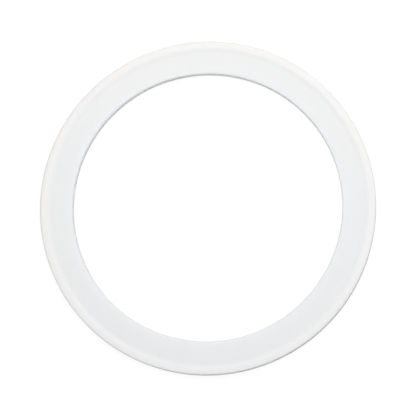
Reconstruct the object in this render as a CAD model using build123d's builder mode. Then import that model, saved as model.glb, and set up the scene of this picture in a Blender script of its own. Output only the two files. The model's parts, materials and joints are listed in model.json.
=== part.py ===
"""Sanitary clamp gasket for a 3 inch tube union, moulded in one piece from silicone rubber.

The gasket lies between the faces of two clamp ferrules. Both of its sides are the same: a flat seat
round the bore, a concave foot, and a low rounded bead along the outer edge that centres the ring.
The origin is the centre of the bore at half thickness, and +Z runs along the bore. Sizes are in mm.
"""

import os
from math import acos, degrees, sin

from build123d import *

# Driving dimensions
bore_diameter = 72.9  # inside diameter of the 3 inch tube that it meets
section_width = 9.0  # from the bore wall to the outer wall
web_thickness = 2.2  # between the two flat seats
bead_rise = 0.25  # height of a bead's crown above its seat
crown_land = 1.0  # flat top of a bead, between its shoulder and its outer edge
foot_radius = 3.0  # concave blend from a seat up to its bead
crown_radius = 3.0  # convex shoulder between the blend and the crown
outer_edge_radius = 0.35
bore_edge_radius = 0.25

# Sizes that follow from them
bore_radius = bore_diameter / 2
outer_radius = bore_radius + section_width
seat_height = web_thickness / 2
crown_height = seat_height + bead_rise
flank_slope = acos(1 - bead_rise / (foot_radius + crown_radius))
flank_run = (foot_radius + crown_radius) * sin(flank_slope)
foot_start_radius = outer_radius - outer_edge_radius - crown_land - flank_run


def side_outline():
    """Draws one side of the cross-section, from the bore edge out over the seat and the bead."""
    start = (bore_radius, seat_height - bore_edge_radius)
    bore_edge = JernArc(start, (0, 1), bore_edge_radius, -90)
    seat = Line(bore_edge @ 1, (foot_start_radius, seat_height))
    foot = JernArc(seat @ 1, seat % 1, foot_radius, degrees(flank_slope))
    shoulder = JernArc(foot @ 1, foot % 1, crown_radius, -degrees(flank_slope))
    land = Line(shoulder @ 1, (outer_radius - outer_edge_radius, crown_height))
    outer_edge = JernArc(land @ 1, land % 1, outer_edge_radius, -90)
    return [bore_edge, seat, foot, shoulder, land, outer_edge]


with BuildPart() as gasket:
    with BuildSketch(Plane.XZ) as cross_section:
        with BuildLine() as outline:
            upper_side = side_outline()
            mirror(upper_side, about=Plane.XZ)
            bore_wall_top = upper_side[0] @ 0
            Line(bore_wall_top, (bore_wall_top.X, -bore_wall_top.Y))
            outer_wall_top = upper_side[-1] @ 1
            Line(outer_wall_top, (outer_wall_top.X, -outer_wall_top.Y))
        make_face()
    revolve(axis=Axis.Z)

gasket.part.label = "gasket"

os.makedirs("parts", exist_ok=True)
export_step(gasket.part, "parts/gasket.step")
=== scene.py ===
"""Sanitary clamp gasket in milky silicone, lying on a pale floor and seen from above."""

import json
import math

import bmesh
import bpy
from mathutils import Matrix, Vector


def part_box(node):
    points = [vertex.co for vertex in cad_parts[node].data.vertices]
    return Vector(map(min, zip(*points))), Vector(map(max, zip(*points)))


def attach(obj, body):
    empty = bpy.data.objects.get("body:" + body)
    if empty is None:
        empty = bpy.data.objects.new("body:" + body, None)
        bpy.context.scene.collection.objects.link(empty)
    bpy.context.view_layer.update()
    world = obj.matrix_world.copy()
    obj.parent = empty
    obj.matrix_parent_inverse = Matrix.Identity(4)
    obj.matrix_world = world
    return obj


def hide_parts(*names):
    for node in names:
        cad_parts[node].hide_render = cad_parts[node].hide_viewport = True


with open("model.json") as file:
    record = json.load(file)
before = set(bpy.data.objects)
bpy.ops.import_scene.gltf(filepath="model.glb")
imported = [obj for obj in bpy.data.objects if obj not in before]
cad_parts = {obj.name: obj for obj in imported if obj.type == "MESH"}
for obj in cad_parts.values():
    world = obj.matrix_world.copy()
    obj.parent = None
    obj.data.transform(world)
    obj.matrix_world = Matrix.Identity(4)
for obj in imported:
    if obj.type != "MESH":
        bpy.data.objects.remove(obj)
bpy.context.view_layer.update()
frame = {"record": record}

MM = 0.001

# ---------------------------------------------------------------- sizes
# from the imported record
mounts = {m["name"]: m for m in frame["record"]["mounts"]}
low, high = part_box("gasket")
bore_radius = mounts["bore"]["dims"]["r_mm"] * MM
outer_radius = mounts["outer_wall"]["dims"]["r_mm"] * MM
seat_height = mounts["upper_ferrule_seat"]["pos_m"][2]
crown_height = high.z

# the record doesn't give these; they are the same as in the part's source
foot_radius = 3.0 * MM
crown_radius = 3.0 * MM
crown_land = 1.0 * MM
outer_edge_radius = 0.35 * MM
bore_edge_radius = 0.25 * MM

# where the bead's flank and its flat crown start and end
flank_slope = math.acos(1 - (crown_height - seat_height) / (foot_radius + crown_radius))
land_end = outer_radius - outer_edge_radius
land_start = land_end - crown_land
foot_start = land_start - (foot_radius + crown_radius) * math.sin(flank_slope)

# the mould's parting line, in this scene only
parting_width = 0.10 * MM
parting_depth = 0.03 * MM

# the mesh
RING_TURNS = 480
BORE_EDGE_STEPS = 8
FLANK_STEPS = 10
OUTER_EDGE_STEPS = 12
SEAT_LOOPS = (0.02, 0.15, 0.5, 0.85, 0.98)  # shares of the seat's width


# ---------------------------------------------------------------- camera
CAMERA_TILT = math.radians(9.8)  # away from straight above
CAMERA_TURN = math.radians(-62)  # about +Z, from +X
CAMERA_DISTANCE = 0.6240
CAMERA_LENS = 200
SENSOR_WIDTH = 36
AIM_RIGHT = 0.18  # mm
AIM_DOWN = 0.25  # mm

camera_data = bpy.data.cameras.new("camera")
camera_data.lens = CAMERA_LENS
camera_data.sensor_width = SENSOR_WIDTH
camera = bpy.data.objects.new("camera", camera_data)
bpy.context.scene.collection.objects.link(camera)
toward_camera = Vector(
    (
        math.sin(CAMERA_TILT) * math.cos(CAMERA_TURN),
        math.sin(CAMERA_TILT) * math.sin(CAMERA_TURN),
        math.cos(CAMERA_TILT),
    )
)
image_right = Vector((0, 1, 0)).cross(toward_camera).normalized()
image_up = toward_camera.cross(image_right)
camera_turn = Matrix((image_right, image_up, toward_camera)).transposed().to_4x4()
aim = image_right * AIM_RIGHT * MM - image_up * AIM_DOWN * MM
camera.matrix_world = Matrix.Translation(aim + toward_camera * CAMERA_DISTANCE) @ camera_turn
bpy.context.scene.camera = camera


# ---------------------------------------------------------------- the ring's cross-section
def arc(centre, radius, start, end, steps):
    """Points of an arc about centre from start to end, in degrees, without the first one."""
    points = []
    for i in range(1, steps + 1):
        a = math.radians(start + (end - start) * i / steps)
        points.append((centre[0] + radius * math.cos(a), centre[1] + radius * math.sin(a)))
    return points


def side_outline():
    """One side of the section as (radius, height), from the bore wall to the outer wall."""
    slope = math.degrees(flank_slope)
    bore_edge_centre = (bore_radius + bore_edge_radius, seat_height - bore_edge_radius)
    foot_centre = (foot_start, seat_height + foot_radius)
    shoulder_centre = (land_start, crown_height - crown_radius)
    outer_edge_centre = (land_end, crown_height - outer_edge_radius)

    points = [(bore_radius, seat_height - bore_edge_radius)]
    points += arc(bore_edge_centre, bore_edge_radius, 180, 90, BORE_EDGE_STEPS)
    seat_start = bore_radius + bore_edge_radius
    for share in SEAT_LOOPS:
        points.append((seat_start + (foot_start - seat_start) * share, seat_height))
    points.append((foot_start, seat_height))
    points += arc(foot_centre, foot_radius, -90, -90 + slope, FLANK_STEPS)
    points += arc(shoulder_centre, crown_radius, 90 + slope, 90, FLANK_STEPS)
    points.append(((land_start + land_end) / 2, crown_height))
    points.append((land_end, crown_height))
    points += arc(outer_edge_centre, outer_edge_radius, 90, 0, OUTER_EDGE_STEPS)
    return points


def outline():
    """The whole closed section. The mould's halves meet on the outer wall in a fine raised line.

    The wall is set back by the line's depth, so that the line reaches the solid's outer radius.
    """
    wall = outer_radius - parting_depth
    wall_top = crown_height - outer_edge_radius * 0.6
    upper = [(min(r, wall) if h < wall_top else r, h) for r, h in side_outline()]
    parting = [
        (wall, parting_width * 2),
        (wall, parting_width * 0.6),
        (outer_radius, parting_width * 0.25),
        (outer_radius, -parting_width * 0.25),
        (wall, -parting_width * 0.6),
        (wall, -parting_width * 2),
    ]
    lower = [(r, -h) for r, h in reversed(upper)]
    return upper + parting + lower


def lathe(name, section, turns):
    """A closed ring with this cross-section about the Z axis."""
    bm = bmesh.new()
    loops = []
    for i in range(turns):
        a = 2 * math.pi * i / turns
        c, s = math.cos(a), math.sin(a)
        loops.append([bm.verts.new((r * c, r * s, h)) for r, h in section])
    for i in range(turns):
        here, there = loops[i], loops[(i + 1) % turns]
        for k in range(len(section)):
            m = (k + 1) % len(section)
            bm.faces.new((here[k], here[m], there[m], there[k]))
    bmesh.ops.recalc_face_normals(bm, faces=bm.faces)
    mesh = bpy.data.meshes.new(name)
    bm.to_mesh(mesh)
    bm.free()
    mesh.shade_smooth()
    piece = bpy.data.objects.new(name, mesh)
    bpy.context.scene.collection.objects.link(piece)
    return piece


# ---------------------------------------------------------------- materials
class Nodes:
    """A short way to write the nodes of a material or a world."""

    def __init__(self, owner):
        owner.use_nodes = True
        self.tree = owner.node_tree
        self.tree.nodes.clear()

    def add(self, kind, inputs=None, **settings):
        node = self.tree.nodes.new(kind)
        for key, value in settings.items():
            setattr(node, key, value)
        for key, value in (inputs or {}).items():
            self.fill(node.inputs[key], value)
        return node

    def fill(self, socket, value):
        """Links value to the socket where it is another node's output, or else sets it."""
        if isinstance(value, bpy.types.NodeSocket):
            self.tree.links.new(value, socket)
        else:
            socket.default_value = value

    def math(self, operation, a, b=0.0):
        return self.add("ShaderNodeMath", {0: a, 1: b}, operation=operation).outputs[0]

    def smooth(self, value, start, end):
        """0 before start and 1 after end."""
        node = self.add(
            "ShaderNodeMapRange",
            {"Value": value, "From Min": start, "From Max": end, "To Min": 0.0, "To Max": 1.0},
            interpolation_type="SMOOTHSTEP",
        )
        return node.outputs["Result"]

    def noise(self, position, scale, detail, roughness=0.5):
        node = self.add(
            "ShaderNodeTexNoise",
            {"Vector": position, "Scale": scale, "Detail": detail, "Roughness": roughness},
        )
        return node.outputs["Fac"]

    def tint(self, colour, share, other):
        """colour where share is 0, and other where it is 1."""
        node = self.add("ShaderNodeMix", {"Factor": share}, data_type="RGBA", blend_type="MIX")
        for name, value in (("A", colour), ("B", other)):
            self.fill([s for s in node.inputs if s.name == name and s.type == "RGBA"][0], value)
        return [s for s in node.outputs if s.type == "RGBA"][0]


BODY = (0.876, 0.872, 0.868, 1)
COOL_BODY = (0.860, 0.871, 0.884, 1)
COOL_BORE = (0.868, 0.882, 0.900, 1)
# painted shade along the bore's top edge
BORE_EDGE_PAINTED_SHADE = (0.720, 0.720, 0.720, 1)
# painted light: the bead lighter than the seat
BEAD_PAINTED_LIGHT = (0.892, 0.888, 0.886, 1)
# painted shade: the outer wall darker than the body, and warm
OUTER_WALL_WARM_PAINTED_SHADE = (0.780, 0.700, 0.665, 1)
BORE_WALL = (0.870, 0.900, 0.905, 1)


def silicone_material():
    """Milky translucent silicone, satin from the mould and the same all the way round."""
    material = bpy.data.materials.new("milky_silicone")
    n = Nodes(material)
    position = n.add("ShaderNodeTexCoord").outputs["Object"]
    axes = n.add("ShaderNodeSeparateXYZ", {"Vector": position})
    x, y, z = axes.outputs[0], axes.outputs[1], axes.outputs[2]
    radius = n.math("SQRT", n.math("ADD", n.math("MULTIPLY", x, x), n.math("MULTIPLY", y, y)))

    # colour: a clouded milky body, cooler near the bore
    cloud = n.noise(position, scale=22.0, detail=1.0)
    cool = n.smooth(cloud, -0.5, 0.9)
    colour = n.tint(BODY, cool, COOL_BODY)
    near_bore = n.smooth(radius, bore_radius + 3.0 * MM, bore_radius)
    colour = n.tint(colour, n.math("MULTIPLY", near_bore, cool), COOL_BORE)

    # painted shade: a darker edge round the bore, above its wall
    edge_zone = n.smooth(radius, bore_radius + 0.32 * MM, bore_radius + 0.12 * MM)
    height_from_middle = n.math("ABSOLUTE", z)
    above_wall = n.smooth(
        height_from_middle, seat_height - bore_edge_radius, seat_height - 0.12 * MM
    )
    colour = n.tint(colour, n.math("MULTIPLY", edge_zone, above_wall), BORE_EDGE_PAINTED_SHADE)

    # a paler bead, which is painted light, a faintly warm outer wall darkened by painted shade,
    # and a cool bore wall
    on_bead = n.smooth(radius, foot_start, land_start)
    colour = n.tint(colour, on_bead, BEAD_PAINTED_LIGHT)
    # the outer wall's darkness is painted shade
    on_outer_wall = n.smooth(radius, outer_radius - 0.20 * MM, outer_radius - 0.04 * MM)
    colour = n.tint(colour, on_outer_wall, OUTER_WALL_WARM_PAINTED_SHADE)
    on_bore_wall = n.smooth(radius, bore_radius + 0.12 * MM, bore_radius + 0.02 * MM)
    colour = n.tint(colour, on_bore_wall, BORE_WALL)

    # finish: the mould's fine grain, and the faint rings of its turned cavity
    grain = n.noise(position, scale=5200.0, detail=2.0, roughness=0.6)
    ring_place = n.add("ShaderNodeCombineXYZ", {0: radius, 1: 0.0, 2: z}).outputs[0]
    ripple = n.noise(ring_place, scale=2600.0, detail=2.0, roughness=0.7)
    relief = n.math("ADD", n.math("MULTIPLY", grain, 0.6), n.math("MULTIPLY", ripple, 0.4))
    bump = n.add("ShaderNodeBump", {"Strength": 0.12, "Distance": 0.00004, "Height": relief})
    fine_cloud = n.noise(position, scale=160.0, detail=2.0)
    roughness = n.math("ADD", n.math("MULTIPLY", fine_cloud, 0.06), 0.54)

    surface = n.add(
        "ShaderNodeBsdfPrincipled",
        {
            "Base Color": colour,
            "Roughness": roughness,
            "Normal": bump.outputs["Normal"],
            "IOR": 1.41,
            "Subsurface Weight": 1.0,
            "Subsurface Radius": (1.0, 1.0, 1.0),
            "Subsurface Scale": 0.0018,
            "Subsurface Anisotropy": 0.0,
        },
        subsurface_method="RANDOM_WALK",
    )
    n.add("ShaderNodeOutputMaterial", {"Surface": surface.outputs["BSDF"]})
    return material


def floor_material():
    """Pale floor. What is seen of it is white, with the ring's soft shadow kept."""
    material = bpy.data.materials.new("pale_floor")
    n = Nodes(material)
    ray = n.add("ShaderNodeLightPath").outputs
    mirrored = n.math("MAXIMUM", ray["Is Glossy Ray"], ray["Is Transmission Ray"])
    seen = n.math("MAXIMUM", ray["Is Camera Ray"], mirrored)
    plain = n.add("ShaderNodeBsdfDiffuse", {"Color": (0.48, 0.48, 0.48, 1)})
    glow = n.add("ShaderNodeEmission", {"Color": (1, 1, 1, 1), "Strength": 0.88})
    shade = n.add("ShaderNodeBsdfDiffuse", {"Color": (0.16, 0.16, 0.16, 1)})
    white = n.add("ShaderNodeAddShader", {0: glow.outputs[0], 1: shade.outputs[0]})
    both = n.add("ShaderNodeMixShader", {0: seen, 1: plain.outputs[0], 2: white.outputs[0]})
    n.add("ShaderNodeOutputMaterial", {"Surface": both.outputs[0]})
    return material


# ---------------------------------------------------------------- the gasket
ring = lathe("gasket_ring", outline(), RING_TURNS)
ring.data.materials.append(silicone_material())
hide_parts("gasket")
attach(ring, "root")


# ---------------------------------------------------------------- floor and light
FLOOR_HALF = 3.0
AMBIENT = 0.493
BACKDROP = 1.0

floor_mesh = bpy.data.meshes.new("floor")
floor_mesh.from_pydata(
    [
        (-FLOOR_HALF, -FLOOR_HALF, low.z),
        (FLOOR_HALF, -FLOOR_HALF, low.z),
        (FLOOR_HALF, FLOOR_HALF, low.z),
        (-FLOOR_HALF, FLOOR_HALF, low.z),
    ],
    [],
    [(0, 1, 2, 3)],
)
floor = bpy.data.objects.new("floor", floor_mesh)
floor.data.materials.append(floor_material())
bpy.context.scene.collection.objects.link(floor)


def softbox(name, place, width, depth, radiance, target=None, colour=(1, 1, 1)):
    """A rectangular lamp of even radiance. It faces straight down, or towards target."""
    data = bpy.data.lights.new(name, "AREA")
    data.shape = "RECTANGLE"
    data.size = width
    data.color = colour
    data.size_y = depth
    data.energy = radiance * math.pi * width * depth
    lamp = bpy.data.objects.new(name, data)
    lamp.location = place
    if target is not None:
        towards = Vector(target) - Vector(place)
        lamp.rotation_euler = towards.to_track_quat("-Z", "Y").to_euler()
    bpy.context.scene.collection.objects.link(lamp)


softbox(
    "overhead_softbox",
    place=(0.02, 0.115, 0.35),
    width=0.45,
    depth=0.21,
    radiance=2.75,
    colour=(1.0, 0.965, 0.93),
)
softbox(
    "side_softbox",
    place=(0.45, 0.54, 0.3),
    width=0.5,
    depth=0.4,
    radiance=1.2,
    target=(0, 0, 0),
)
softbox(
    "cool_softbox",
    place=(0.10, -0.19, 0.20),
    width=0.12,
    depth=0.12,
    radiance=1.3,
    target=(0, 0, 0),
    colour=(0.40, 0.70, 1.0),
)

world = bpy.data.worlds.new("studio")
bpy.context.scene.world = world
w = Nodes(world)
ray = w.add("ShaderNodeLightPath").outputs
ambient = w.add("ShaderNodeBackground", {"Color": (1, 1, 1, 1), "Strength": AMBIENT})
backdrop = w.add("ShaderNodeBackground", {"Color": (1, 1, 1, 1), "Strength": BACKDROP})
mixed = w.add(
    "ShaderNodeMixShader",
    {0: ray["Is Camera Ray"], 1: ambient.outputs[0], 2: backdrop.outputs[0]},
)
w.add("ShaderNodeOutputWorld", {"Surface": mixed.outputs[0]})

bpy.context.scene.view_settings.view_transform = "Standard"
